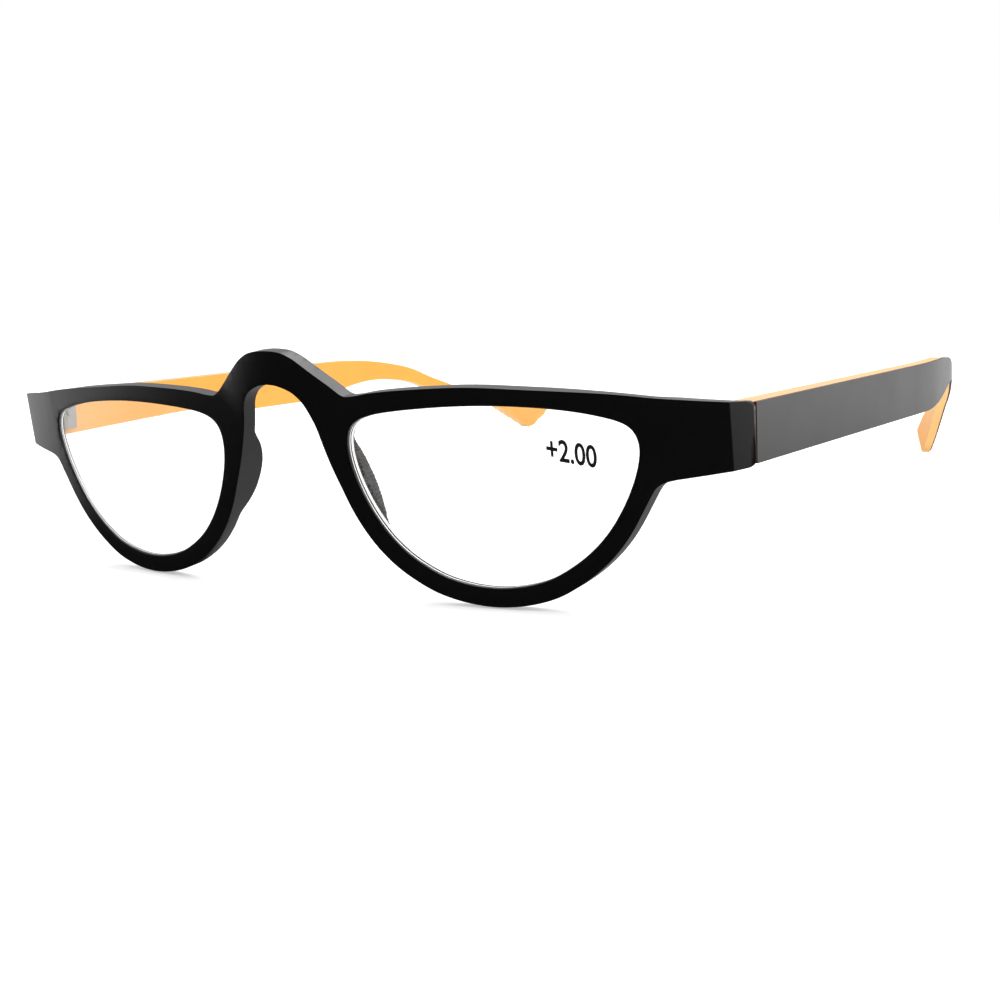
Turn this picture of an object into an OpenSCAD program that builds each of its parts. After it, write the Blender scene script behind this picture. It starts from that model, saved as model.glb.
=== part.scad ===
// Reading glasses: a bowed black front with two plus-power lenses and a moulded nose bridge,
// two-layer temples (orange core, black outer skin) on three-knuckle screw hinges.
// +X is the wearer's left, the front faces -Y, the temples run to +Y and +Z is up.
// The glasses stand on the two rims and the two temple tips.

/* [Front] */
// Width over the outer corners of the front
front_w = 140; // [134:0.5:148]
// Thickness of the moulded front
front_t = 2.5; // [2.4:0.1:3]
// Radius of the front's bow, seen from above
bow_r = 282.5; // [220:2.5:500]
// Rim below the lens
rim_bottom = 2.8; // [2.2:0.1:4]
// Rim beside the lens, towards the ear
rim_side = 2.6; // [2.4:0.1:3.4]
// Rim beside the lens, towards the nose
rim_nose = 3.3; // [2.8:0.1:4]
// Brow above the lens
brow_h = 2.6; // [2:0.1:4]
// Height of the bridge's crown above the lens
bridge_rise = 8.5; // [7.5:0.1:10]
// Thickness of the bridge over the nose arch
bridge_h = 5.0; // [4.4:0.1:6]
// How far the bridge bulges forward of the bow
bridge_bulge = 1.45; // [0.9:0.05:1.7]
// Radius of that bulge
bulge_r = 37; // [32:1:42]
// Height of the end pieces that carry the hinges
end_h = 8.8; // [8.4:0.1:10]
// Drop of the front's outer corner below the top of the lens
end_drop = 0.7; // [0:0.1:1.5]
// How far each end piece flares out from its front corner to its back
end_flare = 1.3; // [0.8:0.1:2]
// Depth of an end piece where the temple meets it
end_depth = 3.6; // [3.2:0.1:4.2]
// Length over which each end of the front sweeps back
sweep_l = 12; // [9:0.5:14]
// Radius of that sweep, seen from above
sweep_r = 69; // [50:1:80]
// Width of the slanted facet outside the swept corner
facet_w = 2.3; // [1.8:0.1:2.6]
// How far that facet falls back
facet_back = 2.2; // [1.6:0.1:2.4]
// Shoulder inside each end piece, where the front thins to the rim
shoulder = 2; // [1.5:0.1:2.5]

/* [Nose pads] */
// How far the moulded pads stand out behind the front
pad_depth = 2.8; // [2:0.1:4]
// Width of a pad, from the nose to the lens side
pad_w = 2.5; // [1.8:0.1:2.8]
// Height of a pad
pad_l = 13.0; // [11:0.1:14]
// Height of the pad's middle above the bottom of the rim
pad_z = 17.8; // [17:0.1:19]

/* [Lenses] */
// Width of a lens opening
lens_w = 45.2; // [42:0.1:47]
// Height of a lens opening
lens_h = 26.4; // [24:0.1:30]
// Distance between the two lens openings
lens_gap = 24.6; // [22:0.1:27]
// Power of the lenses in dioptres
lens_power = 2.0; // [1:0.25:2.5]
// Refractive index of the lens plastic
lens_index = 1.586; // [1.49:0.001:1.67]
// Radius of the lens's front surface
lens_front_r = 200; // [170:5:240]
// Thickness in the middle of a lens
lens_t = 2.1; // [2:0.05:2.3]
// Depth of the lens's front behind the front's face, at its middle
lens_set = 0; // [-0.2:0.05:0.4]
// Height of the ridge round the lens that snaps into the rim
ridge_h = 0.5; // [0.3:0.05:0.7]
// Thickness of that ridge
ridge_t = 0.8; // [0.6:0.05:0.9]
// Clearance between a lens and its seat
lens_fit = 0.05; // [0.03:0.01:0.08]

/* [Temples] */
// Height of a temple at the hinge
temple_h = 8.0; // [7.2:0.1:8.2]
// Height of a temple at its tip
tip_h = 3.6; // [3.2:0.1:5]
// Thickness of a temple at the hinge, skin included
temple_t_hinge = 4.0; // [3.6:0.1:4.2]
// Thickness of a temple in its middle
temple_t = 3.2; // [2.6:0.1:3.6]
// Thickness of a temple at its tip
tip_t = 1.5; // [1.4:0.1:2.4]
// Thickness of the black outer skin
skin_t = 0.6; // [0.4:0.05:0.8]
// Thickness of that skin at the tip
skin_tip_t = 0.3; // [0.3:0.05:0.4]
// Length from the front to the ear bend
straight_l = 81.5; // [76:0.5:90]
// Radius of the ear bend, along the top edge
bend_r = 75; // [60:1:85]
// Angle of the ear bend
bend_angle = 42; // [32:1:48]
// Length of the tip after the bend
tip_l = 3.5; // [2.8:0.1:10]
// How far before the ear bend a temple starts to narrow towards the tip
taper_lead = 12; // [8:1:26]
// How far into the bend it has become as narrow as the tip
taper_trail = 18; // [6:1:24]
// How far behind the front a temple starts to curve in towards the head
wrap_start = 63.5; // [52:0.5:78]
// Radius of that inward curve
wrap_r = 125; // [108:1:200]
// Slope of a temple below the front's normal
temple_slope = 6.1; // [3:0.1:8]
// Distance of a temple's top edge below the top corner of the front
temple_step = 0.4; // [0.2:0.1:0.6]
// Gap between the front and a temple when open
joint_gap = 0.4; // [0.3:0.05:0.6]

/* [Hinges] */
// Radius of the hinge knuckles
knuckle_r = 1.5; // [1.3:0.05:1.6]
// Height of one knuckle
knuckle_h = 2.0; // [1.6:0.1:2.1]
// Gap between neighbouring knuckles
knuckle_gap = 0.1; // [0.05:0.01:0.15]
// Radius of the hinge screw
screw_r = 0.7; // [0.6:0.05:0.8]
// Running clearance round the hinge screw
screw_fit = 0.04; // [0.02:0.01:0.08]
// Radius of the hinge screw's head
screw_head_r = 1.2; // [1:0.05:1.3]
// Height of that head
screw_head_h = 0.6; // [0.4:0.05:0.8]
// Thickness of the hinge leaves
leaf_t = 1.0; // [0.8:0.05:1.2]
// Length of the front leaf along the end piece
front_leaf_l = 5.4; // [5:0.1:5.6]
// Length of the temple leaf along the temple
temple_leaf_l = 6; // [5.6:0.1:12]
// Depth to which the leaves are let into the plastic
leaf_sink = 0.6; // [0.3:0.05:0.7]
// Radius of the small screws that hold the leaves
fix_r = 0.5; // [0.4:0.05:0.6]
// Length of those screws in the plastic
fix_l = 1.4; // [1:0.1:1.6]
// Radius of their heads
fix_head_r = 0.9; // [0.8:0.05:1]
// Height of their heads
fix_head_h = 0.35; // [0.25:0.05:0.45]

/* [Hidden] */
$fn = 96;
slack = 0.02;
// Long enough to pass through the whole front, and the plane that starts below it.
through = 90;
below = -20;
// A depth in front of and one behind everything that belongs to the front.
ahead = -5;
behind = 20;

// Heights are measured along the front, from the bottom of the rims.
lens_cx = (lens_gap + lens_w) / 2;
lens_cz = rim_bottom + lens_h / 2;
lens_top = rim_bottom + lens_h;
end_top = lens_top - end_drop;
bridge_top = lens_top + bridge_rise;
arch_top = bridge_top - bridge_h;
brow_top = lens_top + brow_h;
end_x = front_w / 2;
arch_half = lens_gap / 2 - rim_nose;
bulge_z = arch_top + 0.4 * bridge_h;
bulge_reach = 14;
bulge_depth = 10;

// The lens's outline in shares of its half width and half height, from the nose over the top.
lens_shape = [[-0.91, 0], [-0.99, 0.4], [-0.985, 0.7], [-0.90, 0.85], [-0.72, 0.93],
              [-0.33, 0.985], [0, 1], [0.33, 0.975], [0.62, 0.92], [0.85, 0.83],
              [0.955, 0.74], [1, 0.55], [0.965, 0.28], [0.895, 0], [0.77, -0.345],
              [0.61, -0.61], [0.46, -0.78], [0.31, -0.905], [0, -1], [-0.31, -0.915],
              [-0.465, -0.80], [-0.63, -0.63], [-0.785, -0.36]];
lens_steps = 3;
lens_nose_i = 1;
lens_ear_i = 14;

// A smooth curve through the points p, open or closed, with n steps between two points.
function at(p, i, closed) = closed ? p[(i + len(p)) % len(p)] : p[max(0, min(len(p) - 1, i))];
function blend(a, b, c, d, t) =
    0.5 * (2 * b + (c - a) * t + (2 * a - 5 * b + 4 * c - d) * t * t + (3 * b - a - 3 * c + d) * t * t * t);
function smooth(p, n, closed = false) =
    [for (i = [0 : closed ? len(p) - 1 : len(p) - 2], k = [0 : n - 1])
        blend(at(p, i - 1, closed), at(p, i, closed), at(p, i + 1, closed), at(p, i + 2, closed), k / n)];

// Unit normal of a closed curve at point i, and the curve grown outwards by d.
function unit(v) = v / norm(v);
function normal_at(p, i) = let (t = unit(at(p, i + 1, true) - at(p, i - 1, true))) [-t[1], t[0]];
function grown(p, d) = [for (i = [0 : len(p) - 1]) p[i] + d * normal_at(p, i)];

lens_curve = smooth([for (q = lens_shape) [lens_cx + q[0] * lens_w / 2, lens_cz + q[1] * lens_h / 2]],
                    lens_steps, true);

// The rim's width beside the lens differs from that below it.
function rim_point(i) =
    let (n = normal_at(lens_curve, i), beside = n[0] < 0 ? rim_nose : rim_side)
        at(lens_curve, i, true) + (rim_bottom + (beside - rim_bottom) * n[0] * n[0]) * n;

// Half of the front's outline, from the nose arch down and round the rim to the end piece and brow.
arch_points = [[0, arch_top], [0.16 * arch_half, arch_top - 0.15], [0.28 * arch_half, arch_top - 0.45],
               [0.39 * arch_half, arch_top - 0.85], [0.48 * arch_half, arch_top - 1.3],
               [0.55 * arch_half, arch_top - 1.85], [0.62 * arch_half, arch_top - 2.6],
               [0.68 * arch_half, arch_top - 3.6], [0.745 * arch_half, arch_top - 5.2],
               [0.80 * arch_half, arch_top - 6.7], [0.87 * arch_half, arch_top - 8.8],
               [0.95 * arch_half, arch_top - 11.0], [1.035 * arch_half, arch_top - 13.0]];
rim_count = len(lens_curve);
rim_points = [for (i = [rim_count + lens_nose_i : -1 : lens_ear_i * lens_steps - 2]) rim_point(i)];
end_low = end_top - end_h;
root_x = lens_cx + lens_w / 2 + rim_side;
root_points = [[root_x - 1.5, end_low - 3.0], [root_x - 0.7, end_low - 1.95],
               [root_x + 0.4, end_low - 1.35], [root_x + 2.0, end_low - 1.0]];
brow_points = [[end_x - 10, end_top + 1.15], [end_x - 17, end_top + 2.0], [lens_cx + 7, brow_top - 0.5],
               [lens_cx - 2, brow_top], [lens_cx - 11, brow_top - 0.2], [lens_cx - 17, brow_top - 0.6],
               [lens_gap / 2 + 1.9, brow_top - 1.1], [lens_gap / 2 + 0.2, brow_top - 0.95],
               [lens_gap / 2 - 2.1, bridge_top - 5.15], [lens_gap / 2 - 4.1, bridge_top - 3.55],
               [lens_gap / 2 - 5.85, bridge_top - 2.15], [lens_gap / 2 - 7.2, bridge_top - 1.2],
               [lens_gap / 2 - 8.9, bridge_top - 0.4], [lens_gap / 2 - 10.5, bridge_top - 0.1],
               [0, bridge_top]];

// The front's corner seen from the front, rounded.
corner_r = 1.0;
function arc(c, r, a0, a1, n = 4) =
    [for (k = [0 : n]) let (a = a0 + (a1 - a0) * k / n) c + r * [cos(a), sin(a)]];
end_points = concat(smooth(root_points, 3),
                    arc([end_x + end_flare - corner_r, end_low + corner_r], corner_r, -85, 0),
                    arc([end_x + end_flare - corner_r, end_top - corner_r], corner_r, 0, 85));
half_outline = concat(arch_points, rim_points, end_points, smooth(brow_points, 3), [[0, bridge_top]]);
function other_side(p) = [-p[0], p[1]];
front_outline = concat(half_outline,
                       [for (i = [len(half_outline) - 2 : -1 : 1]) other_side(half_outline[i])]);

// The front bends back with the radius bow_r: these give the depth of its face and its back.
function face_y(x) = bow_r - sqrt(bow_r * bow_r - x * x);
function back_y(x) = bow_r - sqrt(pow(bow_r - front_t, 2) - x * x);

// Hinges and temples are drawn in a frame that leans with the temple: its origin is the top of the
// end piece's back face, Y runs along the temple and Z is square to it.
joint_y = face_y(end_x) + end_depth;
out_x = end_x + end_flare;
end_block_x = lens_cx + lens_w / 2 + 1.3 + shoulder;
mid_z = -end_h / 2;
stack_h = 3 * knuckle_h + 2 * knuckle_gap;
leaf_rise = leaf_t - leaf_sink;
knuckle_clear = 0.1;
hinge_x = out_x - temple_t_hinge - knuckle_r - knuckle_clear;
hinge_y = leaf_rise + knuckle_r + knuckle_clear;

// Side view of a temple's top edge after a run of s along it: [y, z, slope].
bend_run = bend_r * bend_angle * PI / 180;
temple_run = straight_l + bend_run + tip_l;
function edge_at(s) =
    s <= straight_l ? [s, -temple_step, 0]
    : let (a = min(s - straight_l, bend_run) / bend_r * 180 / PI,
           rest = max(0, s - straight_l - bend_run),
           y = straight_l + bend_r * sin(a) + rest * cos(a))
      [y, -temple_step - bend_r * (1 - cos(a)) - rest * sin(a), a];
function ease(t) = let (u = max(0, min(1, t))) u * u * (3 - 2 * u);
taper_start = straight_l - taper_lead;
taper_end = straight_l + taper_trail;
function height_at(s) = temple_h + (tip_h - temple_h) * ease((s - taper_start) / (taper_end - taper_start));
function low_edge_at(s) =
    let (e = edge_at(s), h = height_at(s)) [e[0] - h * sin(e[2]), e[1] - h * cos(e[2])];
run_steps = concat([joint_gap], [for (s = [taper_start : 4 : straight_l - 1]) s],
                   [for (k = [0 : 16]) straight_l + k * bend_run / 16]);
tip_r = tip_h / 2;
tip_edge = edge_at(temple_run - tip_r);
tip_centre = [tip_edge[0] - tip_r * sin(tip_edge[2]), tip_edge[1] - tip_r * cos(tip_edge[2])];

// The lean that stands the glasses on the rims and both tips, and the shift to the middle of the floor.
function from_joint(p) = [joint_y + p[0] * cos(temple_slope) + p[1] * sin(temple_slope),
                          end_top - p[0] * sin(temple_slope) + p[1] * cos(temple_slope)];
tip_spot = from_joint(tip_centre);
rim_low_y = face_y(lens_cx);
rim_to_tip = [tip_spot[0] - rim_low_y, tip_spot[1]];
lean = asin(tip_r / norm(rim_to_tip)) - atan2(rim_to_tip[1], rim_to_tip[0]);
floor_z = -rim_low_y * sin(lean);
front_reach = (bulge_r - bridge_bulge) * cos(lean) - bulge_z * sin(lean) - bulge_r;
rear_reach = tip_spot[0] * cos(lean) - tip_spot[1] * sin(lean) + tip_r;

// Frames: the whole model as it stands, one side of it, and the leaning frame of a hinge.
module standing() {
    translate([0, -(front_reach + rear_reach) / 2, floor_z]) rotate([lean, 0, 0]) children();
}
module side(s) {
    mirror([s < 0 ? 1 : 0, 0, 0]) children();
}
module at_joint() {
    translate([0, joint_y, end_top]) rotate([-temple_slope, 0, 0]) children();
}

// A flat shape in X and Z, drawn out along Y.
module y_prism(y0, y1) {
    translate([0, y1, 0]) rotate([90, 0, 0]) linear_extrude(y1 - y0) children();
}
// Everything further than d behind the front's face: the bow, with the bridge's bulge before it.
function dome(r, d, reach) =
    [for (i = [0 : 14]) let (x = i * reach / 14) [x, d + r - sqrt(r * r - x * x)]];
module behind_face(d) {
    translate([0, bow_r, below]) cylinder(h = through, r = bow_r - d, $fn = 360);
    translate([0, 0, bulge_z]) rotate([-90, 0, 0]) rotate_extrude($fn = 180)
        polygon(concat(dome(bulge_r - d, d - bridge_bulge, bulge_reach), [[0, bulge_depth]]));
}
// Seen from above, each end sweeps back from the bow in a tighter arc, and a slanted facet closes it.
corner_x = out_x - facet_w;
sweep_x = end_x - sweep_l;
sweep_a = asin(sweep_x / bow_r) + 1;
sweep_c = [sweep_x - sweep_r * sin(sweep_a), face_y(sweep_x) - 0.02 + sweep_r * cos(sweep_a)];
function swept_y(x) = sweep_c[1] - sqrt(sweep_r * sweep_r - pow(x - sweep_c[0], 2));
plan_end = concat([for (k = [0 : 10]) let (x = sweep_x + (corner_x - sweep_x) * k / 10) [x, swept_y(x)]],
                  [[out_x, swept_y(corner_x) + facet_back]]);
module swept_ends() {
    translate([0, 0, below]) linear_extrude(through)
        polygon(concat([[0, ahead], [sweep_x - 6, ahead]], plan_end, [[out_x, through], [-out_x, through]],
                       [for (i = [len(plan_end) - 1 : -1 : 0]) other_side(plan_end[i])],
                       [[6 - sweep_x, ahead]]));
}

// A lens and its seat are turned about the lens's own axis, which stands square to the bow.
lens_turn = asin(lens_cx / bow_r);
lens_back_r = 1 / (1 / lens_front_r - lens_power / (1000 * (lens_index - 1)));
lens_reach = lens_w / 2 + 3;
ridge_set = 0.15;
module at_lens_face() {
    translate([0, bow_r, lens_cz]) rotate([0, 0, lens_turn]) translate([0, lens_set - bow_r, 0]) children();
}
function turned_back(p) = [for (i = [len(p) - 1 : -1 : 0]) p[i]];
module domed(front, back) {
    at_lens_face() rotate([-90, 0, 0]) rotate_extrude($fn = 180) polygon(concat(front, turned_back(back)));
}

module lens(s) {
    color([0.85, 0.93, 0.96, 0.45]) standing() side(s) {
        intersection() {
            y_prism(ahead, behind) polygon(grown(lens_curve, -lens_fit));
            domed(dome(lens_front_r, 0, lens_reach), dome(lens_back_r, lens_t, lens_reach));
        }
        intersection() {
            y_prism(ahead, behind) difference() {
                polygon(grown(lens_curve, ridge_h));
                polygon(grown(lens_curve, -1));
            }
            domed(dome(lens_front_r, ridge_set, lens_reach),
                  dome(lens_front_r, ridge_set + ridge_t, lens_reach));
        }
    }
}

module lens_seat() {
    y_prism(ahead, behind) polygon(lens_curve);
    intersection() {
        y_prism(ahead, behind) difference() {
            polygon(grown(lens_curve, ridge_h + lens_fit));
            polygon(grown(lens_curve, -1));
        }
        domed(dome(lens_front_r, ridge_set - lens_fit, lens_reach),
              dome(lens_front_r, ridge_set + ridge_t + lens_fit, lens_reach));
    }
}

// Moulded pad behind the rim beside the nose, with a back that is an arc in side view.
pad_r = (pad_l * pad_l / 4 + pad_depth * pad_depth) / (2 * pad_depth);
module nose_pad() {
    intersection() {
        y_prism(0, 12) intersection() {
            polygon(half_outline);
            difference() {
                translate([0, pad_z - pad_l / 2]) square([lens_cx - 8, pad_l]);
                polygon(grown(lens_curve, rim_nose - pad_w));
            }
        }
        translate([-1, back_y(arch_half) + pad_depth - pad_r, pad_z]) rotate([0, 90, 0])
            cylinder(h = through, r = pad_r);
        translate([0, bow_r, below]) cylinder(h = through, r = bow_r - front_t / 2, $fn = 360);
    }
}

// End piece: a block behind the end of the front, cut square to the temple.
module end_block() {
    intersection() {
        y_prism(0, behind) polygon(half_outline);
        translate([0, 0, below]) linear_extrude(through)
            polygon([[end_block_x - shoulder, 4],
                     [end_block_x - shoulder, back_y(end_block_x - shoulder) - 0.5],
                     [end_block_x, joint_y - 0.6], [end_block_x, behind],
                     [out_x + 5, behind], [out_x + 5, 4]]);
        translate([0, bow_r, below]) cylinder(h = through, r = bow_r, $fn = 360);
        translate([0, 0, below]) cube([through, through, end_top - below]);
    }
}
// The front's leaf lies let into the end piece, its screws above and below the middle.
fix_z = stack_h / 2 - 1.5;
front_leaf_x = hinge_x + 1 - front_leaf_l;
front_fix_x = front_leaf_x + 1.6;
module front_leaf_seat() {
    translate([front_leaf_x - slack, -leaf_sink - slack, mid_z - stack_h / 2 - slack])
        cube([front_leaf_l + 2 * slack, behind, stack_h + 2 * slack]);
    for (k = [-1, 1]) translate([front_fix_x, 0.5, mid_z + k * fix_z]) rotate([90, 0, 0])
        cylinder(h = leaf_sink + fix_l + 0.6, r = fix_r + slack);
}
module front_frame() {
    color("black") standing() difference() {
        intersection() {
            union() {
                intersection() {
                    y_prism(ahead, behind) polygon(front_outline);
                    difference() {
                        behind_face(0);
                        behind_face(front_t);
                    }
                }
                for (s = [1, -1]) side(s) {
                    nose_pad();
                    end_block();
                }
            }
            swept_ends();
        }
        for (s = [1, -1]) side(s) {
            lens_seat();
            at_joint() {
                translate([end_block_x - 8, 0, -40]) cube([40, 30, 60]);
                front_leaf_seat();
            }
        }
    }
}

// Hinge: two knuckles on the front's leaf, one between them on the temple's, and a screw through all.
module knuckle(k) {
    translate([hinge_x, hinge_y, mid_z + k * (knuckle_h + knuckle_gap) - knuckle_h / 2])
        cylinder(h = knuckle_h, r = knuckle_r);
}
module hinge_bore() {
    translate([hinge_x, hinge_y, mid_z - stack_h]) cylinder(h = 2 * stack_h, r = screw_r + screw_fit);
}
module front_leaf(s) {
    color("silver") standing() side(s) at_joint() difference() {
        union() {
            translate([front_leaf_x, -leaf_sink, mid_z - stack_h / 2])
                cube([front_leaf_l, leaf_t, stack_h]);
            for (k = [-1, 1]) {
                knuckle(k);
                translate([hinge_x - knuckle_r, 0, mid_z + k * (knuckle_h + knuckle_gap) - knuckle_h / 2])
                    cube([knuckle_r, hinge_y, knuckle_h]);
            }
        }
        hinge_bore();
        for (k = [-1, 1]) translate([front_fix_x, behind / 2, mid_z + k * fix_z]) rotate([90, 0, 0])
            cylinder(h = behind, r = fix_r + slack);
    }
}
module fix_screw() {
    cylinder(h = fix_head_h, r = fix_head_r);
    translate([0, 0, -leaf_t - fix_l]) cylinder(h = leaf_t + fix_l + fix_head_h / 2, r = fix_r);
}
module front_leaf_screws() {
    color("gray") standing() for (s = [1, -1]) side(s) at_joint() for (k = [-1, 1])
        translate([front_fix_x, leaf_rise, mid_z + k * fix_z]) rotate([-90, 0, 0]) fix_screw();
}
module hinge_screw(s) {
    color("gray") standing() side(s) at_joint() translate([hinge_x, hinge_y, mid_z]) {
        translate([0, 0, -stack_h / 2]) cylinder(h = stack_h + screw_head_h / 2, r = screw_r);
        translate([0, 0, stack_h / 2]) cylinder(h = screw_head_h, r = screw_head_r);
    }
}
// The temple's leaf starts behind the knuckles and carries the middle one on a short stem.
leaf_start = hinge_y + knuckle_r - 0.2;
stem_x = hinge_x + 0.3;
stem_hold = 0.5;
inner_x = out_x - temple_t_hinge;
fix_ys = [leaf_start + stem_hold + fix_head_r + 0.2, leaf_start + temple_leaf_l - fix_head_r - 0.6];
module temple_leaf(s) {
    color("silver") standing() side(s) at_joint() difference() {
        union() {
            translate([inner_x - leaf_rise, leaf_start, mid_z - stack_h / 2])
                cube([leaf_t, temple_leaf_l, stack_h]);
            knuckle(0);
            translate([stem_x, hinge_y, mid_z - knuckle_h / 2])
                cube([hinge_x + knuckle_r - stem_x, leaf_start - hinge_y + stem_hold, knuckle_h]);
        }
        hinge_bore();
        for (y = fix_ys) translate([inner_x - behind / 2, y, mid_z]) rotate([0, 90, 0])
            cylinder(h = behind, r = fix_r + slack);
    }
}
module temple_leaf_screws(s) {
    color("gray") standing() side(s) at_joint() for (y = fix_ys)
        translate([inner_x - leaf_rise, y, mid_z]) rotate([0, -90, 0]) fix_screw();
}

// Temple: one side view for both layers, cut from two curved bands.
module temple_side() {
    polygon(concat([for (s = run_steps) let (e = edge_at(s)) [e[0], e[1]]],
                   [[tip_edge[0], tip_edge[1]]],
                   arc(tip_centre, tip_r, 90 - bend_angle, -90 - bend_angle, 10),
                   [for (i = [len(run_steps) - 1 : -1 : 0]) low_edge_at(run_steps[i])]));
}
// One surface along a temple, at the depth d[0] under the outside at the hinge: straight, then on a
// tangent into the inward curve at the depth d[1]. That curve's centre lies further back than the
// outside's, so that the depth at the tip is d[2].
wrap_end = asin(min(1, (tip_centre[0] - wrap_start) / wrap_r));
module temple_surface(d) {
    r = wrap_r - d[1];
    c = [out_x - wrap_r, wrap_start + (d[1] - d[2]) / sin(wrap_end)];
    from = [out_x - d[0], 0];
    touch = atan2(from[1] - c[1], from[0] - c[0]) + acos(min(1, r / norm(from - c)));
    meet = c + r * [cos(touch), sin(touch)];
    ahead_of = from + 5 * unit(from - meet);
    translate([0, 0, -through]) linear_extrude(2 * through) {
        polygon([[0, ahead_of[1]], ahead_of, meet, [0, meet[1]]]);
        translate(c) circle(r = r, $fn = 360);
    }
}
module temple_layer(outer, inner) {
    difference() {
        intersection() {
            rotate([90, 0, 90]) linear_extrude(out_x + 5) temple_side();
            temple_surface(outer);
        }
        temple_surface(inner);
    }
}
outside = [0, 0, 0];
under_skin = [skin_t, skin_t, skin_tip_t];
inside = [temple_t_hinge, temple_t, tip_t];
module temple_core(s) {
    color("orange") standing() side(s) at_joint() difference() {
        temple_layer(under_skin, inside);
        translate([inner_x - 2, leaf_start - slack, mid_z - stack_h / 2 - slack])
            cube([2 + leaf_sink + slack, temple_leaf_l + 2 * slack, stack_h + 2 * slack]);
        for (y = fix_ys) translate([inner_x, y, mid_z]) rotate([0, 90, 0])
            cylinder(h = leaf_sink + fix_l + slack, r = fix_r + slack);
    }
}
module temple_skin(s) {
    color([0.12, 0.12, 0.13]) standing() side(s) at_joint() temple_layer(outside, under_skin);
}

front_frame();
lens(1);  // left_lens
lens(-1);  // right_lens
front_leaf(1);  // left_front_leaf
front_leaf(-1);  // right_front_leaf
front_leaf_screws();
hinge_screw(1);  // left_hinge_screw
hinge_screw(-1);  // right_hinge_screw
temple_leaf(1);  // left_temple_leaf
temple_leaf(-1);  // right_temple_leaf
temple_leaf_screws(1);  // left_temple_leaf_screws
temple_leaf_screws(-1);  // right_temple_leaf_screws
temple_core(1);  // left_temple_core
temple_core(-1);  // right_temple_core
temple_skin(1);  // left_temple_skin
temple_skin(-1);  // right_temple_skin
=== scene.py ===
import math

import bmesh
import bpy
from mathutils import Matrix, Vector
from mathutils.kdtree import KDTree


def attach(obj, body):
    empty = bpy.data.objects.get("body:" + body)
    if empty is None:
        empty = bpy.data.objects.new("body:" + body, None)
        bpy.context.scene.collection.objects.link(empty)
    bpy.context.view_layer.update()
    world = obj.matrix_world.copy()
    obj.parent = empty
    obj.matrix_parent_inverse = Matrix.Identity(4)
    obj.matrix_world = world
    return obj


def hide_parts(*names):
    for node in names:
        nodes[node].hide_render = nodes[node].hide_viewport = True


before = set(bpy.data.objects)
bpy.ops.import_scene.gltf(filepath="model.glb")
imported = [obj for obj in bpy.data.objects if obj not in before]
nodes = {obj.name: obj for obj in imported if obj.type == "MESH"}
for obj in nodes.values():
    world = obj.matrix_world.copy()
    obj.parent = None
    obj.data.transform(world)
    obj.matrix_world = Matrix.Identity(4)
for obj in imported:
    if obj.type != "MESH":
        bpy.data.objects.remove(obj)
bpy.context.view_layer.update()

# Camera: a 53 mm lens close to the glasses, to the wearer's left of the front and a little above it.
# The place was worked out in the upright frame of the front and then leans with the glasses.
LEAN = math.radians(3.83799)
MID_Y, FLOOR_Z, CORNER_Z = 69.5946, -0.144852, 28.5
AZIMUTH, DIP, ROLL = math.radians(35.0), math.radians(13.6261), math.radians(-6.0566)
CAMERA_MM = Vector((150.063, -159.266, 35.332 + CORNER_Z))
stand = Matrix.Translation((0, -MID_Y / 1000, FLOOR_Z / 1000)) @ Matrix.Rotation(LEAN, 4, "X")
ahead = Vector((-math.sin(AZIMUTH) * math.cos(DIP), math.cos(AZIMUTH) * math.cos(DIP), -math.sin(DIP)))
right = Vector((math.cos(AZIMUTH), math.sin(AZIMUTH), 0))
up = right.cross(ahead)
rolled_right = right * math.cos(ROLL) + up * math.sin(ROLL)
rolled_up = up * math.cos(ROLL) - right * math.sin(ROLL)
turn = Matrix((rolled_right, rolled_up, -ahead)).transposed().to_4x4()
camera = bpy.data.objects.new("camera", bpy.data.cameras.new("camera"))
camera.data.sensor_width = 36
camera.data.lens = 36 * 1472.05 / 1000
camera.data.clip_start = 0.01
camera.matrix_world = stand @ Matrix.Translation(CAMERA_MM / 1000) @ turn
bpy.context.scene.collection.objects.link(camera)
bpy.context.scene.camera = camera


# Stage: a white sheet under a white surround, as in a product photograph, both plain white to the
# camera. In the plastic's reflections the room in front of the glasses and the sheet close before
# them are dark, which keeps the front's face black. The sizes of that dark part are in metres.
DARK_AHEAD, DARK_HALF, FRONT_AHEAD = 0.062, 0.08, 0.055


class Shade:
    """A socket in a node tree: sums and products of sockets add their Math nodes."""

    def __init__(self, tree, socket=None):
        self.tree, self.socket = tree, socket

    def node(self, kind, settings=None, sockets=None, out=0):
        made = self.tree.nodes.new(kind)
        for name, value in (settings or {}).items():
            setattr(made, name, value)
        for name, value in (sockets or {}).items():
            if isinstance(value, Shade):
                self.tree.links.new(value.socket, made.inputs[name])
            else:
                made.inputs[name].default_value = value
        return Shade(self.tree, made.outputs[out] if len(made.outputs) else None)

    def math(self, operation, other, swapped=False):
        first, second = (other, self) if swapped else (self, other)
        return self.node("ShaderNodeMath", {"operation": operation}, {0: first, 1: second})

    def fade(self, low, high, at_low, at_high):
        """A soft change from one value to another while this socket goes from low to high."""
        return self.node("ShaderNodeMapRange", {"interpolation_type": "SMOOTHSTEP"}, {
            "Value": self, "From Min": low, "From Max": high, "To Min": at_low, "To Max": at_high})

    def __add__(self, other):
        return self.math("ADD", other)

    def __sub__(self, other):
        return self.math("SUBTRACT", other)

    def __rsub__(self, other):
        return self.math("SUBTRACT", other, True)

    def __mul__(self, other):
        return self.math("MULTIPLY", other)

    __radd__, __rmul__ = __add__, __mul__


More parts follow.
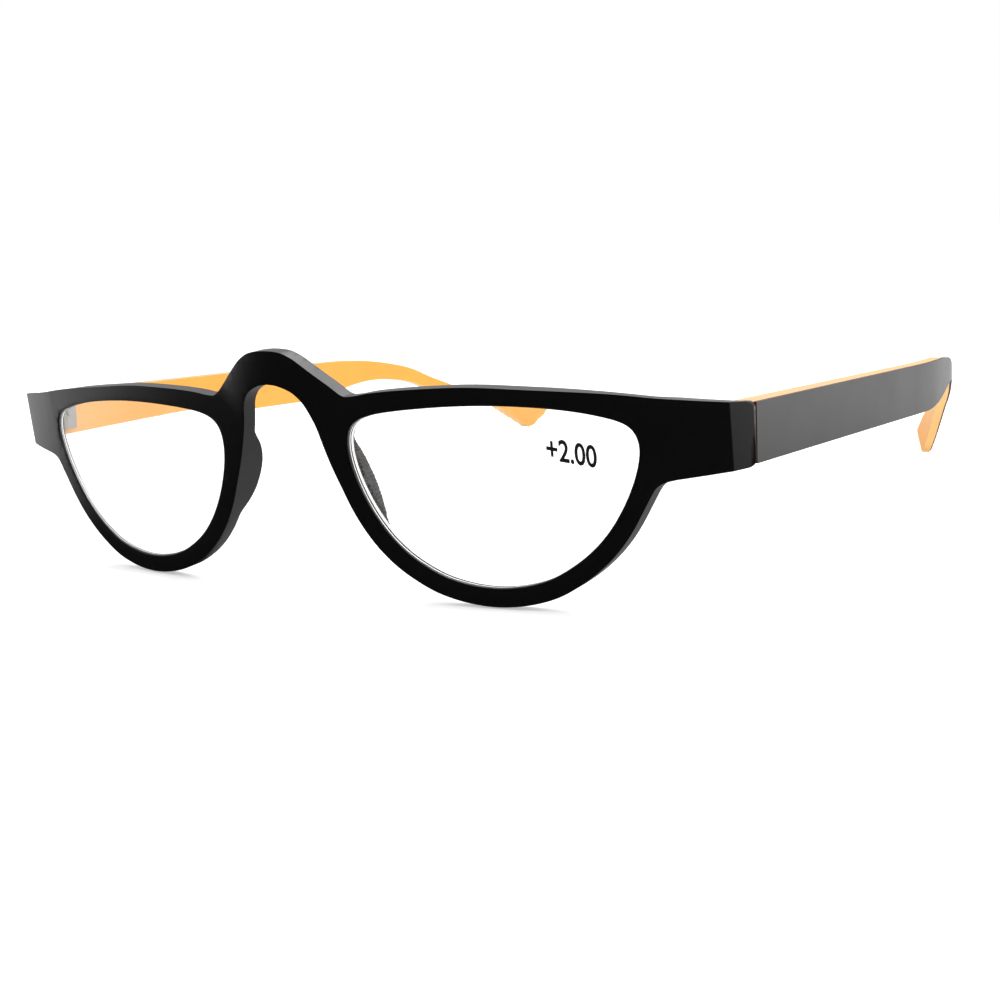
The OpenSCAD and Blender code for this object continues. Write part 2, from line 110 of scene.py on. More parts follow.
bpy.context.scene.view_settings.view_transform = "Standard"
world = bpy.data.worlds.new("studio")
bpy.context.scene.world = world
world.use_nodes = True
sky = Shade(world.node_tree)
back_drop = world.node_tree.nodes["Background"]
towards = sky.node("ShaderNodeTexCoord", out="Generated")
to_camera_side = sky.node("ShaderNodeVectorMath", {"operation": "DOT_PRODUCT"},
                          {0: towards, 1: (-0.2, -0.98, 0.0)}, out="Value")
dim = to_camera_side.fade(0.25, 0.75, 0.6, 0.02)
seen = sky.node("ShaderNodeLightPath", out="Is Camera Ray")
glossy = sky.node("ShaderNodeLightPath", out="Is Glossy Ray")
through = sky.node("ShaderNodeLightPath", out="Is Transmission Ray")
plain_white = seen.math("MAXIMUM", through)
level = plain_white + (1 - plain_white) * (glossy * dim + (1 - glossy) * 0.8)
world.node_tree.links.new(level.socket, back_drop.inputs["Strength"])
back_drop.inputs["Color"].default_value = (1, 1, 1, 1)

sheet = bpy.data.objects.new("white_sheet", bpy.data.meshes.new("white_sheet"))
bm = bmesh.new()
bmesh.ops.create_grid(bm, x_segments=1, y_segments=1, size=3)
bm.to_mesh(sheet.data)
bm.free()
bpy.context.scene.collection.objects.link(sheet)
paper = bpy.data.materials.new("white_sheet")
paper.use_nodes = True
tree = Shade(paper.node_tree)
matt = paper.node_tree.nodes["Principled BSDF"]
matt.inputs["Base Color"].default_value = (0.86, 0.86, 0.86, 1)
matt.inputs["Roughness"].default_value = 0.9
matt.inputs["Specular IOR Level"].default_value = 0.1
spot = tree.node("ShaderNodeTexCoord", out="Object")
from_front = tree.node("ShaderNodeVectorMath", {"operation": "ADD"}, {0: spot, 1: (0.0, FRONT_AHEAD, 0.0)})
away = tree.node("ShaderNodeVectorMath", {"operation": "LENGTH"}, {0: from_front}, out="Value")
aside = tree.node("ShaderNodeSeparateXYZ", sockets={0: spot}).math("ABSOLUTE", 0) - DARK_HALF
forward = tree.node("ShaderNodeSeparateXYZ", sockets={0: spot}, out=1) + DARK_AHEAD
from_edge = tree.node("ShaderNodeCombineXYZ", sockets={0: aside.math("MAXIMUM", 0.0), 1: forward})
heading = tree.node("ShaderNodeVectorMath", {"operation": "NORMALIZE"}, {0: from_edge})
before = tree.node("ShaderNodeVectorMath", {"operation": "DOT_PRODUCT"}, {0: heading, 1: (0.0, -1.0, 0.0)},
                   out="Value")
lit = before.fade(0.25, 0.7, 1.0, 0.0) * away.fade(0.08, 0.26, 0.36, 1.0)
dark, bright, glow = (tree.node("ShaderNodeEmission", sockets={"Color": (1, 1, 1, 1), "Strength": strength})
                      for strength in (0.02, 1.2, 3.5))
mirrored_sheet = tree.node("ShaderNodeMixShader", sockets={"Fac": lit, 1: dark, 2: bright})
seen = tree.node("ShaderNodeLightPath", out="Is Camera Ray")
glossy = tree.node("ShaderNodeLightPath", out="Is Glossy Ray")
through = tree.node("ShaderNodeLightPath", out="Is Transmission Ray")
lifted = tree.node("ShaderNodeMixShader", sockets={
    "Fac": seen.math("MAXIMUM", through) * 0.12, 1: Shade(tree.tree, matt.outputs[0]), 2: glow})
mirrored = glossy * (1 - through)
blend = tree.node("ShaderNodeMixShader", sockets={"Fac": mirrored, 1: lifted, 2: mirrored_sheet})
paper.node_tree.links.new(blend.socket, paper.node_tree.nodes["Material Output"].inputs["Surface"])
sheet.data.materials.append(paper)

for name, place, aim, size, power in (("overhead", (0.0, 0.25, 0.9), (0, 0, 0), 1.0, 9.0),
                                      ("side", (0.9, -0.1, 0.45), (0, 0, 0.02), 0.6, 2.2)):
    lamp = bpy.data.objects.new(name, bpy.data.lights.new(name, "AREA"))
    lamp.data.size, lamp.data.energy = size, power
    lamp.location = place
    lamp.rotation_euler = (Vector(aim) - Vector(place)).to_track_quat("-Z", "Y").to_euler()
    bpy.context.scene.collection.objects.link(lamp)


# Front: one injection-moulded piece in satin black plastic, with both rims, the arched bridge that
# bulges forward, the brow, the end pieces with their slanted facets and the pads behind the rims.
# Its edges are softly rounded, and each lens snaps into a groove inside its rim.
BOW_R, FRONT_T, END_X, END_FLARE, END_TOP, END_H = 282.5, 2.5, 70.0, 1.3, 28.5, 8.8
RIM_LOW, RIM_EAR, RIM_NOSE = 2.8, 2.6, 3.3
LENS_W, LENS_H, LENS_GAP = 45.2, 26.4, 24.6
LENS_X, LENS_Z = (LENS_GAP + LENS_W) / 2, RIM_LOW + LENS_H / 2
BRIDGE_TOP, ARCH_TOP, BROW_TOP, ARCH_HALF = 37.7, 32.7, 31.8, LENS_GAP / 2 - RIM_NOSE
OUT_X, BULGE, BULGE_R, BULGE_Z, BULGE_REACH = END_X + END_FLARE, 1.45, 37, 34.7, 20
CORNER_X, FACET_BACK, SWEEP_X, SWEEP_R = OUT_X - 2.3, 2.2, 58.0, 69
JOINT_Y, SLOPE, BLOCK_X, SHOULDER = 12.4099, math.radians(6.1), 60.8, 2.0
PAD_DEPTH, PAD_L, PAD_Z, PAD_FACE, PAD_ZONE, PAD_OFF_LENS = 2.8, 13.0, 17.8, 0.14, (28, 9), 0.12
EDGE_R, INNER_R, GROOVE, GROOVE_DEPTH = 0.55, 0.2, (0.5, 0.88, 1.02, 1.4), 0.55
FALL_X, FALL_RUN, FALL_FRONT, FALL_BLOCK, FALL_Z = 43, 15, 0.12, 0.2, 2.5
CELL, FINE_CELL, SWEEP_CELL, AT_LENS = 1.5, 0.5, 0.25, 0.5
LENS_SHAPE = [(-0.91, 0), (-0.99, 0.4), (-0.985, 0.7), (-0.90, 0.85), (-0.72, 0.93), (-0.33, 0.985), (0, 1),
              (0.33, 0.975), (0.62, 0.92), (0.85, 0.83), (0.955, 0.74), (1, 0.55), (0.965, 0.28), (0.895, 0),
              (0.77, -0.345), (0.61, -0.61), (0.46, -0.78), (0.31, -0.905), (0, -1), (-0.31, -0.915),
              (-0.465, -0.80), (-0.63, -0.63), (-0.785, -0.36)]


def smooth(points, steps, closed=False):
    """A smooth curve through flat points, as a list of more points."""
    def at(i):
        return Vector(points[i % len(points)] if closed else points[max(0, min(len(points) - 1, i))])
    made = []
    for i in range(len(points) if closed else len(points) - 1):
        a, b, c, d = at(i - 1), at(i), at(i + 1), at(i + 2)
        for t in (k / steps for k in range(steps)):
            made.append(0.5 * (2 * b + (c - a) * t + (2 * a - 5 * b + 4 * c - d) * t ** 2
                               + (3 * b - a - 3 * c + d) * t ** 3))
    return made


def outward(curve, i):
    """The unit normal of a closed curve at its point i, away from what it encloses."""
    along = (curve[(i + 1) % len(curve)] - curve[i - 1]).normalized()
    return Vector((-along.y, along.x))


def ease(t):
    t = max(0.0, min(1.0, t))
    return t * t * (3 - 2 * t)


def round_corner(centre, radius, start, end, steps=8):
    angles = (math.radians(start + (end - start) * k / steps) for k in range(steps + 1))
    return [Vector(centre) + radius * Vector((math.cos(a), math.sin(a))) for a in angles]


lens_points = [(LENS_X + x * LENS_W / 2, LENS_Z + z * LENS_H / 2) for x, z in LENS_SHAPE]
coarse = smooth(lens_points, 3, True)
for again in range(3):
    coarse = [(coarse[i - 1] + 2 * p + coarse[(i + 1) % len(coarse)]) / 4 for i, p in enumerate(coarse)]
lens_curve = smooth(coarse, 3, True)
beside_nose, beside_ear = len(coarse) + 1, 40
rim = []
for i in range(beside_nose, beside_ear - 1, -1):
    out = outward(coarse, i % len(coarse))
    beside = RIM_NOSE if out.x < 0 else RIM_EAR
    rim.append(coarse[i % len(coarse)] + (RIM_LOW + (beside - RIM_LOW) * out.x ** 2) * out)
arch = [(share * ARCH_HALF, ARCH_TOP - drop) for share, drop in (
    (0, 0), (0.16, 0.15), (0.28, 0.45), (0.39, 0.85), (0.48, 1.3), (0.55, 1.85), (0.62, 2.6), (0.68, 3.6),
    (0.745, 5.2), (0.80, 6.7), (0.87, 8.8), (0.95, 11.0), (1.035, 13.0))]
END_LOW, ROOT_X = END_TOP - END_H, LENS_X + LENS_W / 2 + RIM_EAR
root = [(ROOT_X + x, END_LOW - drop) for x, drop in ((-1.5, 3.0), (-0.7, 1.95), (0.4, 1.35), (2.0, 1.0))]
brow = [(END_X - 10, END_TOP + 1.15), (END_X - 17, END_TOP + 2.0), (LENS_X + 7, BROW_TOP - 0.5),
        (LENS_X - 2, BROW_TOP), (LENS_X - 11, BROW_TOP - 0.2), (LENS_X - 17, BROW_TOP - 0.6),
        (LENS_GAP / 2 + 1.9, BROW_TOP - 1.1), (LENS_GAP / 2 + 0.2, BROW_TOP - 0.95)]
brow += [(LENS_GAP / 2 - x, BRIDGE_TOP - drop) for x, drop in (
    (2.1, 5.15), (4.1, 3.55), (5.85, 2.15), (7.2, 1.2), (8.9, 0.4), (10.5, 0.1), (LENS_GAP / 2, 0))]
half = smooth(arch + rim + root, 4) + [Vector(root[-1])]
half += round_corner((OUT_X - 1, END_LOW + 1), 1, -85, 0) + round_corner((OUT_X - 1, END_TOP - 1), 1, 0, 85)
half += smooth(brow, 6) + [Vector((0, BRIDGE_TOP))]
outline = half + [Vector((-p.x, p.y)) for p in half[-2:0:-1]]

sweep_turn = math.asin(SWEEP_X / BOW_R) + math.radians(1)
sweep_mid = (SWEEP_X - SWEEP_R * math.sin(sweep_turn),
             BOW_R - math.sqrt(BOW_R ** 2 - SWEEP_X ** 2) - 0.02 + SWEEP_R * math.cos(sweep_turn))


def soft_corner(gap, width):
    """What is left in the corner between two surfaces, this far apart, when they blend over a width."""
    near = max(0.0, width - abs(gap)) / width
    return near ** 2 * width / 4


def face_depth(x, z):
    """How far the front's face lies behind the plane that touches the middle of its bow."""
    x = abs(x)
    depth = BOW_R - math.sqrt(BOW_R ** 2 - x ** 2)
    if x > SWEEP_X:
        depth = sweep_mid[1] - math.sqrt(SWEEP_R ** 2 - (min(x, CORNER_X) - sweep_mid[0]) ** 2)
    depth += FACET_BACK * max(0.0, x - CORNER_X) / (OUT_X - CORNER_X)
    from_middle = x ** 2 + (z - BULGE_Z) ** 2
    if from_middle < BULGE_REACH ** 2:
        bulge = BULGE_R - BULGE - math.sqrt(BULGE_R ** 2 - from_middle)
        depth = min(depth, bulge) - soft_corner(depth - bulge, 0.5)
    return depth


lens_edge = KDTree(len(lens_curve))
for i, p in enumerate(lens_curve):
    lens_edge.insert((p.x, p.y, 0), i)
lens_edge.balance()


def to_lens(point):
    """The distance from a point of the front to the edge of its lens, and the nearest point's number."""
    nearest, number, distance = lens_edge.find((abs(point.x), point.z, 0))
    return distance, number


PAD_R = (PAD_L ** 2 / 4 + PAD_DEPTH ** 2) / (2 * PAD_DEPTH)


def extra_depth(point):
    """What a pad or an end piece adds to the thickness of the front behind this point."""
    x, z = abs(point.x), point.z
    face = face_depth(x, z)
    joint = JOINT_Y + (z - END_TOP) * math.tan(SLOPE)
    block = ease((x - BLOCK_X + SHOULDER) / SHOULDER) * (joint - face - FRONT_T)
    if x > PAD_ZONE[0] or abs(z - PAD_Z) > PAD_ZONE[1]:
        return block
    height = PAD_DEPTH - PAD_R + math.sqrt(max(0.0, PAD_R ** 2 - (z - PAD_Z) ** 2)) - (face - PAD_FACE)
    run_out = soft_corner(height, 0.8) * (abs(z - PAD_Z) < PAD_L / 2 + 1)
    beside_lens = to_lens(point)[0] <= PAD_OFF_LENS
    return 0.0 if beside_lens else max(height, 0.0) + run_out


def cut(bm, axis, places, keep=None):
    """Cuts the mesh with planes square to an axis, so that it can bend there."""
    normal = Vector((axis == "x", axis == "y", axis == "z"))
    for place in places:
        faces = [f for f in bm.faces if keep is None or keep(f.calc_center_median())]
        edges = {e for f in faces for e in f.edges}
        verts = {v for f in faces for v in f.verts}
        bmesh.ops.bisect_plane(bm, geom=list(verts) + list(edges) + faces, dist=1e-5,
                               plane_co=normal * place, plane_no=normal)


def slab(bm, loops, thickness):
    """Fills closed loops of flat points in the plane of X and Z and draws them out along Y."""
    for points in loops:
        ring = [bm.verts.new((p[0], 0, p[1])) for p in points]
        for i in range(len(ring)):
            bm.edges.new((ring[i - 1], ring[i]))
    bmesh.ops.triangle_fill(bm, use_beauty=True, edges=bm.edges[:], normal=(0, -1, 0))
    drawn = bmesh.ops.extrude_face_region(bm, geom=bm.faces[:])["geom"]
    far_side = [v for v in drawn if isinstance(v, bmesh.types.BMVert)]
    bmesh.ops.translate(bm, vec=(0, thickness, 0), verts=far_side)
    bmesh.ops.recalc_face_normals(bm, faces=bm.faces[:])


def rim_edges(bm, depth, wanted):
    """The edges between a slab's wall and its side at this depth, where wanted(middle) holds."""
    found = []
    for e in bm.edges:
        at_depth = all(abs(v.co.y - depth) < 1e-4 for v in e.verts)
        if at_depth and wanted((e.verts[0].co + e.verts[1].co) / 2):
            if sorted(abs(f.normal.y) > 0.5 for f in e.link_faces) == [False, True]:
                found.append(e)
    return found


def round_edges(bm, edges, radius, segments):
    bmesh.ops.bevel(bm, geom=edges, offset=radius, offset_type="OFFSET", segments=segments, profile=0.5,
                    affect="EDGES", material=-1, clamp_overlap=True)


def piece(name, bm, matrix, material, body, slot, *replaced):
    """Makes a finished piece of a mesh: placed, smooth but for its sharp edges, and riding its body."""
    bmesh.ops.transform(bm, matrix=matrix, verts=bm.verts[:])
    bmesh.ops.recalc_face_normals(bm, faces=bm.faces[:])
    for face in bm.faces:
        face.smooth = True
    sharp_from = math.radians(40)
    for edge in bm.edges:
        edge.smooth = edge.calc_face_angle(0) < sharp_from
    made = bpy.data.objects.new(name, bpy.data.meshes.new(name))
    made.modifiers.new("even_shading", "WEIGHTED_NORMAL").keep_sharp = True
    bm.to_mesh(made.data)
    bm.free()
    for m in material if isinstance(material, tuple) else (material,):
        made.data.materials.append(m)
    bpy.context.scene.collection.objects.link(made)
    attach(made, body)
    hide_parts(*replaced)
    return made


def moulded_plastic(name, colour, roughness, specular, grain):
    """Moulded plastic: one colour with faint clouding, uneven gloss and the fine grain of the mould."""
    made = bpy.data.materials.new(name)
    made.use_nodes = True
    shader = made.node_tree.nodes["Principled BSDF"]
    start = Shade(made.node_tree)
    place = start.node("ShaderNodeTexCoord", out="Object")
    cloud = start.node("ShaderNodeTexNoise", sockets={"Vector": place, "Scale": 90.0, "Detail": 3.0})
    fine = start.node("ShaderNodeTexNoise", sockets={"Vector": place, "Scale": 2600.0, "Detail": 2.0})
    deeper, paler = ((*[min(1, c * share) for c in colour], 1) for share in (0.88, 1.12))
    tint = start.node("ShaderNodeMix", {"data_type": "RGBA", "blend_type": "MIX"},
                      {0: cloud, 6: deeper, 7: paler}, out=2)
    bump = start.node("ShaderNodeBump", sockets={"Height": fine, "Distance": 0.00002, "Strength": grain})
    made.node_tree.links.new(tint.socket, shader.inputs["Base Color"])
    made.node_tree.links.new((cloud * 0.12 + (roughness - 0.06)).socket, shader.inputs["Roughness"])
    made.node_tree.links.new(bump.socket, shader.inputs["Normal"])
    shader.inputs["Specular IOR Level"].default_value = specular
    return made


to_row = stand @ Matrix.Scale(0.001, 4)
satin_black = moulded_plastic("satin_black", (0.001, 0.001, 0.0011), 0.34, 0.9, 0.12)
bm = bmesh.new()
slab(bm, [outline, lens_curve, [(-p.x, p.y) for p in lens_curve]], FRONT_T)
for depth in (0, FRONT_T):
    round_edges(bm, rim_edges(bm, depth, lambda m: to_lens(m)[0] > 1), EDGE_R, 4)
    bm.normal_update()
    round_edges(bm, rim_edges(bm, depth, lambda m: to_lens(m)[0] < 1), INNER_R, 3)
    bm.normal_update()
cut(bm, "y", GROOVE, lambda m: to_lens(m)[0] < AT_LENS and INNER_R < m.y < FRONT_T - INNER_R)
for v in bm.verts:
    distance, number = to_lens(v.co)
    if distance < AT_LENS and min(abs(v.co.y - g) for g in GROOVE[1:3]) < 1e-3:
        out = outward(lens_curve, number) * GROOVE_DEPTH
        v.co += Vector((math.copysign(1, v.co.x) * out.x, 0, out.y))
cut(bm, "x", [CELL * k for k in range(-46, 47)])
cut(bm, "z", [CELL * k for k in range(1, 25)])
for side in (1, -1):
    behind_nose = lambda m: 7 < side * m.x < 22 and 9 < m.z < 26 and m.y > 0.6
    cut(bm, "x", [side * (7 + FINE_CELL * k) for k in range(30)], behind_nose)
    cut(bm, "z", [9.25 + FINE_CELL * k for k in range(34)], behind_nose)
    cut(bm, "x", [side * (58.8 + SWEEP_CELL * k) for k in range(9)])
    cut(bm, "x", [side * x for x in (CORNER_X - 0.1, CORNER_X + 0.1, 70.2, 70.7, 71.0)])
for v in bm.verts:
    x, depth, z = v.co
    face, extra = face_depth(x, z), extra_depth(v.co)
    if extra < 0:
        y = face + depth * max(0.1, FRONT_T + extra) / FRONT_T
    else:
        y = face + depth + extra * ease((depth - EDGE_R) / (FRONT_T - 2 * EDGE_R))
    if abs(x) > BLOCK_X:
        y = min(y, JOINT_Y + (z - END_TOP) * math.tan(SLOPE) - 0.1 * (1 - depth / FRONT_T))
    fall = FALL_FRONT * min(y - face, FRONT_T) * ease((abs(x) - FALL_X) / FALL_RUN)
    fall += FALL_BLOCK * max(0.0, y - face - FRONT_T)
    v.co = Vector((x, y, z - fall * ease((z - END_TOP + FALL_Z) / FALL_Z)))
piece("front_moulding", bm, to_row, satin_black, "front", "front_black", "front_frame")

# Lenses: clear plastic, worked to two spheres for their power of +2, thicker in the middle. The
# ground edge of each is frosted and runs out to the ridge that snaps into the rim's groove. Its pale
# frost also glows faintly, a painted glow for light carried through the lens.
LENS_R, POWER, INDEX, LENS_T, LENS_FIT = 200, 2.0, 1.586, 2.5, 0.05
RIDGE, RIDGE_OUT, LENS_CELL = (0.2, 0.28, 0.38, 0.46), 0.5, 1.25
LENS_BACK_R = 1 / (1 / LENS_R - POWER / (1000 * (INDEX - 1)))
lens_turn = math.asin(LENS_X / BOW_R)


def lens_depth(x, z, radius, depth):
    """Where a lens's surface lies, the sphere of this radius that starts this deep in the lens."""
    reach = depth + radius - BOW_R
    middle = Vector((-reach * math.sin(lens_turn), BOW_R + reach * math.cos(lens_turn)))
    return middle.y - math.sqrt(radius ** 2 - (abs(x) - middle.x) ** 2 - (z - LENS_Z) ** 2)


clear = bpy.data.materials.new("clear_lens")
clear.use_nodes = True
glass = clear.node_tree.nodes["Principled BSDF"]
start = Shade(clear.node_tree)
place = start.node("ShaderNodeTexCoord", out="Object")
smear = start.node("ShaderNodeTexNoise", sockets={"Vector": place, "Scale": 60.0})
clear.node_tree.links.new((smear * 0.01).socket, glass.inputs["Roughness"])
glass.inputs["Base Color"].default_value = (1, 1, 1, 1)
glass.inputs["Transmission Weight"].default_value = 1
glass.inputs["IOR"].default_value = 1.5
# Pale frosted white with a faint painted glow, standing in for light carried through the lens.
frost_and_glow = moulded_plastic("frosted_lens_edge_painted_glow", (0.8, 0.8, 0.8), 0.55, 0.5, 0.5)
edge_glow_shader = frost_and_glow.node_tree.nodes["Principled BSDF"]
edge_glow_shader.inputs["Emission Color"].default_value = (1, 1, 1, 1)
edge_glow_shader.inputs["Emission Strength"].default_value = 0.55
seated = moulded_plastic("seated_lens_edge", (0.03, 0.03, 0.03), 0.4, 0.4, 0.25)
for side, name in ((1, "left_lens"), (-1, "right_lens")):
    bm = bmesh.new()
    cap = [lens_curve[i] - LENS_FIT * outward(lens_curve, i) for i in range(len(lens_curve))]
    slab(bm, [cap], 1)
    cut(bm, "y", RIDGE)
    cut(bm, "x", [12.5 + LENS_CELL * k for k in range(37)])
    cut(bm, "z", [3.5 + LENS_CELL * k for k in range(21)])
    bm.normal_update()
    for f in bm.faces:
        if abs(f.normal.y) < 0.5:
            on_ridge = RIDGE[0] < f.calc_center_median().y < RIDGE[3]
            f.material_index = 2 if on_ridge else 1
    for v in bm.verts:
        x, share, z = v.co
        front, back = lens_depth(x, z, LENS_R, 0), lens_depth(x, z, LENS_BACK_R, LENS_T)
        v.co.y = front + share * (back - front)
        if RIDGE[1] - 0.01 < share < RIDGE[2] + 0.01:
            out = outward(lens_curve, to_lens(v.co)[1]) * RIDGE_OUT
            v.co += Vector((out.x, 0, out.y))
    bmesh.ops.scale(bm, vec=(side, 1, 1), verts=bm.verts[:])
    piece(name + "_clear", bm, to_row, (clear, frost_and_glow, seated), "front", "lens_clear", name)

# Power print: the plain number of the lens's power, printed in black ink on the front of the
# wearer's-left lens. It runs down a little towards the ear and follows the lens's curve.
PRINT_X, PRINT_Z, PRINT_W, PRINT_DROP, INK_T = 44.4, 21.8, 7.0, 0.187, 0.02
ink = moulded_plastic("black_ink", (0.01, 0.01, 0.01), 0.5, 0.3, 0.3)
words = bpy.data.curves.new("power_print", "FONT")
words.body, words.size, words.offset = "+2.00", 4.2, 0.09
words.resolution_u = 6
lettering = bpy.data.objects.new("power_letters", words)
bpy.context.scene.collection.objects.link(lettering)
bpy.context.view_layer.update()
drawn = bpy.data.meshes.new_from_object(lettering.evaluated_get(bpy.context.evaluated_depsgraph_get()))
bpy.data.objects.remove(lettering)
bm = bmesh.new()
bm.from_mesh(drawn)
bmesh.ops.triangulate(bm, faces=bm.faces[:])
print_left, print_right = min(v.co.x for v in bm.verts), max(v.co.x for v in bm.verts)
for v in bm.verts:
    x = PRINT_X + PRINT_W * (v.co.x - print_left) / (print_right - print_left)
    z = PRINT_Z + v.co.y - PRINT_DROP * (x - PRINT_X)
    v.co = Vector((x, lens_depth(x, z, LENS_R, 0) - INK_T, z))
piece("power_print", bm, to_row, ink, "front", "front_black")

# Hinges: stamped steel leaves with rolled knuckles, let into the plastic and held by small screws. A
# longer screw through the knuckles is each temple's pin. These nodes keep the solids' own shapes.
steel = bpy.data.materials.new("hinge_steel")
steel.use_nodes = True
metal = steel.node_tree.nodes["Principled BSDF"]
start = Shade(steel.node_tree)
place = start.node("ShaderNodeTexCoord", out="Object")
stretched = start.node("ShaderNodeMapping", sockets={"Vector": place, "Scale": (300, 300, 6000)})
brushed = start.node("ShaderNodeTexNoise", sockets={"Vector": stretched, "Scale": 1.0, "Detail": 4.0})
steel.node_tree.links.new((brushed * 0.25 + 0.2).socket, metal.inputs["Roughness"])
metal.inputs["Base Color"].default_value = (0.55, 0.53, 0.5, 1)
metal.inputs["Metallic"].default_value = 1
for name in ("left_front_leaf", "right_front_leaf", "left_temple_leaf", "right_temple_leaf",
             "front_leaf_screws", "left_hinge_screw", "right_hinge_screw", "left_temple_leaf_screws",
             "right_temple_leaf_screws"):
    nodes[name].data.materials.clear()
    nodes[name].data.materials.append(steel)

# Temples: two layers of plastic, a thick orange core inside and a thin black skin outside, both cut
# to one side view and curved in towards the head. Past the ear bend they narrow to a neck and widen
# again to a round-ended paddle. A thin brown seam shows where the layers are joined. The same brown
# on the temples' front ends is painted shade in the gap at the hinge. The core's edges are a paler
# orange, a painted highlight, and a little glossier.
TEMPLE_H, TIP_H, NECK_H, PADDLE_H, FLARE, NECK_DIP = 8.0, 3.6, 2.7, 5.8, 1.55, 0.8
OUTSIDE, UNDER_SKIN, INSIDE = (0, 0, 0), (0.6, 0.6, 0.3), (4.0, 3.2, 1.5)
STRAIGHT_L, BEND_R, BEND, TIP_L, JOINT_GAP, STEP = 81.5, 75, math.radians(42), 3.5, 0.4, 0.4
WRAP_START, WRAP_END, WRAP_R = 63.5, 131.744, 125
TAPER_LEAD, TAPER_RUN, NECK_FROM, NECK_RUN, PADDLE_FROM, PADDLE_RUN = 12, 30, 96, 12, 116, 19
DIP_FROM, DIP_RUN, FLARE_FROM, FLARE_RUN, TIP_ROUND, TIP_REACH, TIP_FULL = 101, 9, 114, 21, 1.3, 0.95, 0.6
SEAM_T, SHRINK, SHRINK_FROM, SHRINK_RUN = 0.35, 0.35, 90, 12
bend_run = BEND_R * BEND
tip_run = STRAIGHT_L + bend_run + TIP_L - TIP_H / 2


def top_edge(s):
    """Side view of a temple's top edge after a run of s along it, and its slope there."""
    if s <= STRAIGHT_L:
        return Vector((s, -STEP)), 0.0
    slope = min(s - STRAIGHT_L, bend_run) / BEND_R
    rest = max(0.0, s - STRAIGHT_L - bend_run)
    point = Vector((STRAIGHT_L + BEND_R * math.sin(slope) + rest * math.cos(slope),
                    -STEP - BEND_R * (1 - math.cos(slope)) - rest * math.sin(slope)))
    rise = (FLARE + NECK_DIP) * ease((s - FLARE_FROM) / FLARE_RUN)
    rise -= NECK_DIP * ease((s - DIP_FROM) / DIP_RUN)
    return point + rise * Vector((math.sin(slope), math.cos(slope))), slope


def low_edge(s):
    """Side view of a temple's lower edge, square below its top edge after a run of s."""
    point, slope = top_edge(s)
    height = TEMPLE_H + (TIP_H - TEMPLE_H) * ease((s - STRAIGHT_L + TAPER_LEAD) / TAPER_RUN)
    height += ((NECK_H - TIP_H) * ease((s - NECK_FROM) / NECK_RUN)
               + (PADDLE_H - NECK_H) * ease((s - PADDLE_FROM) / PADDLE_RUN))
    return point - height * Vector((math.sin(slope), math.cos(slope)))


runs = [JOINT_GAP + (tip_run - TIP_ROUND - JOINT_GAP) * k / 90 for k in range(91)]
tip_middle = (top_edge(runs[-1])[0] + low_edge(runs[-1])) / 2
tip_half = top_edge(runs[-1])[0] - tip_middle
tip_reach = Vector((tip_half.y, -tip_half.x)).normalized() * TIP_REACH


def wrapped(y, at_hinge, middle, at_tip):
    """How far out a surface stands after a run of y, for its depths in the temple at three places."""
    radius, middle_x = WRAP_R - middle, OUT_X - WRAP_R
    middle_y = WRAP_START + (middle - at_tip) * WRAP_R / (WRAP_END - WRAP_START)
    start = Vector((OUT_X - at_hinge - middle_x, -middle_y))
    touch = math.atan2(start.y, start.x) + math.acos(min(1, radius / start.length))
    meet = Vector((middle_x + radius * math.cos(touch), middle_y + radius * math.sin(touch)))
    if y < meet.y:
        return OUT_X - at_hinge + (meet.x - OUT_X + at_hinge) * y / meet.y
    return middle_x + math.sqrt(radius ** 2 - (y - middle_y) ** 2)


side_view = [top_edge(s)[0] for s in runs]
for k in range(1, 24):
    a, b = math.cos(math.pi * k / 24), math.sin(math.pi * k / 24)
    side_view.append(tip_middle + math.copysign(abs(a) ** TIP_FULL, a) * tip_half + b ** TIP_FULL * tip_reach)
side_view += [low_edge(s) for s in reversed(runs)]
at_joint = Matrix.Translation((0, JOINT_Y, END_TOP)) @ Matrix.Rotation(-SLOPE, 4, "X")
orange = moulded_plastic("orange_plastic", (0.9, 0.41, 0.07), 0.3, 0.3, 0.15)
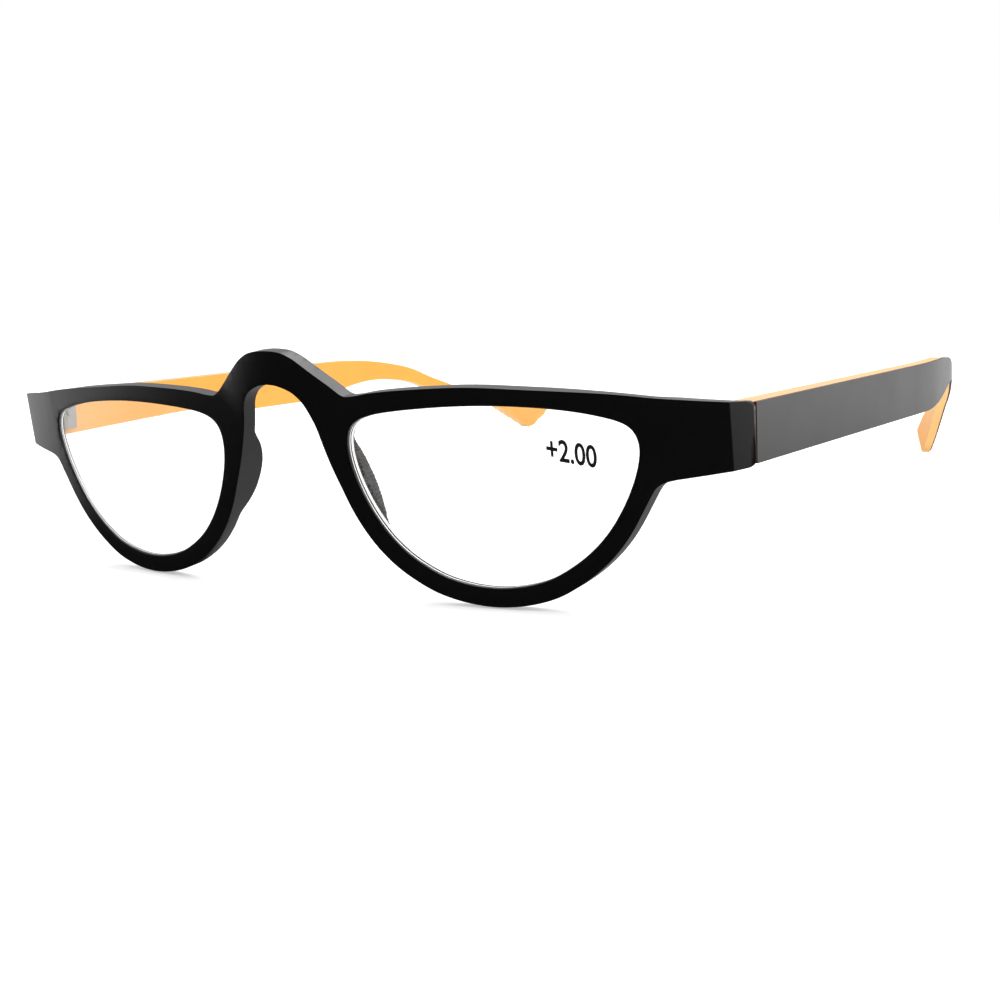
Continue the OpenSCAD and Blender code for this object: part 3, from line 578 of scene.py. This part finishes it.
# Brown for the seam where the layers meet, and on the temples' front ends as painted shade in the hinge gap.
seam_and_gap_shade = moulded_plastic("temple_seam_and_gap_shade", (0.09, 0.022, 0.01), 0.4, 0.5, 0.15)
# A paler orange on the core's edges: a painted highlight, besides their slightly higher gloss.
pale_painted_highlight = moulded_plastic("orange_polished_edge_painted_highlight", (0.95, 0.52, 0.17), 0.25, 0.6, 0.1)
layers = (("core", (orange, seam_and_gap_shade, pale_painted_highlight), "temple_orange", UNDER_SKIN, INSIDE, 0.2, 0.7),
          ("skin", (satin_black, seam_and_gap_shade), "temple_black", OUTSIDE, UNDER_SKIN, 0.3, 0.05))
for side, hand in ((1, "left"), (-1, "right")):
    for layer, material, slot, outer, inner, outer_round, inner_round in layers:
        thick = inner[1] - outer[1]
        bm = bmesh.new()
        shape = side_view
        if layer == "skin":
            shape = [p - SHRINK * ease((p.x - SHRINK_FROM) / SHRINK_RUN) * outward(side_view, i)
                     for i, p in enumerate(side_view)]
        slab(bm, [shape], thick)
        round_edges(bm, rim_edges(bm, 0, lambda m: True), outer_round, 3)
        bm.normal_update()
        round_edges(bm, rim_edges(bm, thick, lambda m: True), inner_round, 4)
        if layer == "core":
            cut(bm, "y", [SEAM_T], lambda m: m.y < SEAM_T + 0.15)
        bm.normal_update()
        # Brown on the seam and, as painted shade, on the front ends in the hinge gap; a paler orange on the
        # core's edges as a painted highlight.
        for f in bm.faces:
            middle = f.calc_center_median()
            on_edge = abs(f.normal.y) < (0.5 if layer == "core" else 0.75)
            at_skin = middle.y < SEAM_T if layer == "core" else on_edge
            f.material_index = 1 if middle.x < JOINT_GAP + 0.05 or at_skin else 2 * on_edge
        cut(bm, "x", [2.0 * k for k in range(1, 68)])
        for v in bm.verts:
            y, into, z = v.co
            from_x, to_x = wrapped(y, *outer), wrapped(y, *inner)
            v.co = Vector((side * (from_x + (to_x - from_x) * into / thick), y, z))
        piece(f"{hand}_temple_{layer}_moulding", bm, to_row @ at_joint, material, hand + "_temple", slot,
              f"{hand}_temple_{layer}")
